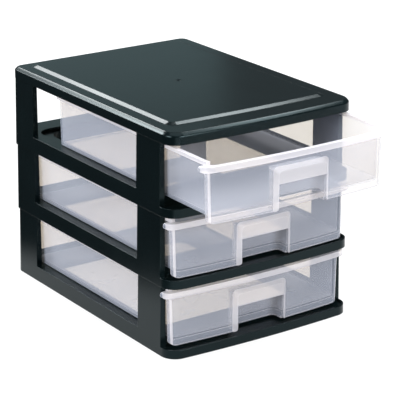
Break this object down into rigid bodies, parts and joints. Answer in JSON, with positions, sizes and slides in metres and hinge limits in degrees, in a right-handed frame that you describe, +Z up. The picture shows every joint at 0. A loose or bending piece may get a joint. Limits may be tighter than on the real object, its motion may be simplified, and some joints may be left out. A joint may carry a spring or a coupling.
{
  "type": "stacking drawer unit",
  "caption": "Desktop unit of stacked open frames with a flat cover and translucent pull-out drawers, each with a moulded finger pull in its bowed front.",
  "frame": {"origin": "on the table, under the middle of the unit's footprint with its drawers standing as stored", "axes": "+Z up; the front of the unit faces -Y, the way the drawers open; +Y is its depth and X its width"},
  "size_m": [0.26, 0.428, 0.271],
  "materials": {
    "black_plastic": "smooth moulded black polystyrene",
    "clear_plastic": "translucent natural polypropylene with a satin surface"
  },
  "bodies": {
    "housing": {"lower_frame": "black_plastic", "middle_frame": "black_plastic", "upper_frame": "black_plastic", "top_cover": "black_plastic"},
    "lower_tray": {"lower_drawer": "clear_plastic"},
    "middle_tray": {"middle_drawer": "clear_plastic"},
    "upper_tray": {"upper_drawer": "clear_plastic"}
  },
  "joints": [
    {"name": "lower_slide", "type": "slide", "parent": "housing", "child": "lower_tray", "axis": [0, -1, 0], "range_m": [0, 0.25]},
    {"name": "middle_slide", "type": "slide", "parent": "housing", "child": "middle_tray", "axis": [0, -1, 0], "range_m": [-0.007, 0.243]},
    {"name": "upper_slide", "type": "slide", "parent": "housing", "child": "upper_tray", "axis": [0, -1, 0], "range_m": [-0.0755, 0.1745]}
  ]
}
